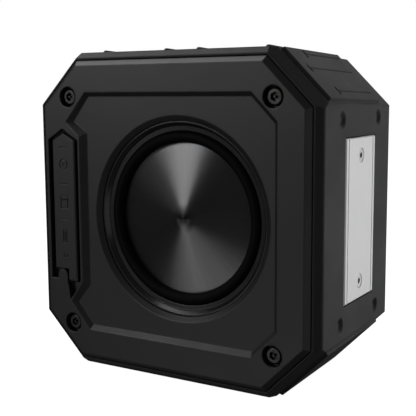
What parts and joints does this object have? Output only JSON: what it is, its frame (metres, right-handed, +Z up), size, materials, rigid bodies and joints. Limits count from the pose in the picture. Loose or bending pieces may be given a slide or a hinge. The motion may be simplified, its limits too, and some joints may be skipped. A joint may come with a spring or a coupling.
{
  "type": "portable speaker",
  "caption": "Rugged octagonal portable speaker with a rubber armour sleeve, passive radiator front, side plates, hinged port cover, top keys and a rear driver behind a grille.",
  "frame": {"origin": "under the middle of the body, on the surface that it stands on", "axes": "+X to the right of the radiator face, +Y from the radiator face to the back, +Z up"},
  "size_m": [0.1098, 0.0644, 0.1118],
  "materials": {
    "sleeve_rubber": "fine matte texture",
    "bezel_plastic": "soft satin",
    "cover_rubber": "matte",
    "surround_rubber": "satin",
    "disc_metal": "spun, dark anodised",
    "plate_aluminium": "brushed",
    "screw_black": "black oxide",
    "screw_bright": "turned",
    "chassis_plastic": "moulded",
    "gasket_foam": "closed cell foam",
    "circuit_board": "solder mask",
    "chip_plastic": "moulded",
    "plated_steel": "nickel plated",
    "cell_wrap": "shrink wrap",
    "copper_wire": "enamelled",
    "cone_paper": "pressed pulp",
    "spider_cloth": "resin dipped weave",
    "magnet_ferrite": "ground ferrite",
    "grille_steel": "powder coat",
    "key_rubber": "matte",
    "light_pipe": "frosted",
    "lead_jacket": "soft jacket"
  },
  "bodies": {
    "root": {"body_sleeve": "sleeve_rubber", "chassis": "chassis_plastic", "front_bezel": "bezel_plastic", "rear_bezel": "bezel_plastic", "front_gasket": "gasket_foam", "rear_gasket": "gasket_foam", "front_bezel_screws": "screw_black", "rear_bezel_screws": "screw_black", "side_plate_right": "plate_aluminium", "side_plate_left": "plate_aluminium", "side_plate_screws": "screw_bright", "port_panel": "chassis_plastic", "usb_socket": "plated_steel", "audio_jack": "chip_plastic", "card_socket": "plated_steel", "reset_switch": "chip_plastic", "main_board": "circuit_board", "bluetooth_module": "plated_steel", "amplifier_chip": "chip_plastic", "power_coil": "magnet_ferrite", "board_capacitors": "plated_steel", "board_screws": "plated_steel", "battery_cell_upper": "cell_wrap", "battery_cell_lower": "cell_wrap", "battery_tray": "chassis_plastic", "radiator_frame": "bezel_plastic", "radiator_screws": "screw_black", "radiator_surround": "surround_rubber", "driver_yoke": "plated_steel", "driver_magnet": "magnet_ferrite", "driver_top_plate": "plated_steel", "driver_basket": "grille_steel", "driver_gasket": "gasket_foam", "driver_screws": "screw_black", "driver_surround": "surround_rubber", "driver_spider": "spider_cloth", "driver_terminals": "chip_plastic", "rear_grille": "grille_steel", "key_board": "circuit_board", "key_switches": "chip_plastic", "key_board_screws": "plated_steel", "status_light_pipe": "light_pipe", "microphone": "plated_steel", "battery_lead": "lead_jacket", "driver_lead": "lead_jacket", "key_board_lead": "lead_jacket"},
    "radiator": {"radiator_disc": "disc_metal", "radiator_weight": "plated_steel"},
    "driver_cone": {"driver_cone": "cone_paper", "driver_dust_cap": "cone_paper", "voice_coil": "copper_wire"},
    "port_cover": {"port_cover": "cover_rubber"},
    "reset_plunger": {"reset_plunger": "chip_plastic"},
    "power_key": {"power_key": "key_rubber"},
    "volume_down_key": {"volume_down_key": "key_rubber"},
    "play_key": {"play_key": "key_rubber"},
    "volume_up_key": {"volume_up_key": "key_rubber"},
    "pairing_key": {"pairing_key": "key_rubber"}
  },
  "joints": [
    {"name": "radiator_slide", "type": "slide", "parent": "root", "child": "radiator", "axis": [0, 1, 0], "range_m": [-0.0025, 0.0025], "stiffness_N_per_m": 900},
    {"name": "cone_slide", "type": "slide", "parent": "root", "child": "driver_cone", "axis": [0, 1, 0], "range_m": [-0.0015, 0.0015], "stiffness_N_per_m": 1500},
    {"name": "port_cover_hinge", "type": "hinge", "parent": "root", "child": "port_cover", "pos_m": [-0.0427, -0.0311, 0.0316], "axis": [1, 0, 0], "range_deg": [0, 110]},
    {"name": "reset_press", "type": "slide", "parent": "root", "child": "reset_plunger", "axis": [0, 1, 0], "range_m": [0, 0.0005], "stiffness_N_per_m": 400},
    {"name": "power_press", "type": "slide", "parent": "root", "child": "power_key", "axis": [0, 0, -1], "range_m": [0, 0.0005], "stiffness_N_per_m": 500},
    {"name": "volume_down_press", "type": "slide", "parent": "root", "child": "volume_down_key", "axis": [0, 0, -1], "range_m": [0, 0.0005], "stiffness_N_per_m": 500},
    {"name": "play_press", "type": "slide", "parent": "root", "child": "play_key", "axis": [0, 0, -1], "range_m": [0, 0.0005], "stiffness_N_per_m": 500},
    {"name": "volume_up_press", "type": "slide", "parent": "root", "child": "volume_up_key", "axis": [0, 0, -1], "range_m": [0, 0.0005], "stiffness_N_per_m": 500},
    {"name": "pairing_press", "type": "slide", "parent": "root", "child": "pairing_key", "axis": [0, 0, -1], "range_m": [0, 0.0005], "stiffness_N_per_m": 500}
  ]
}
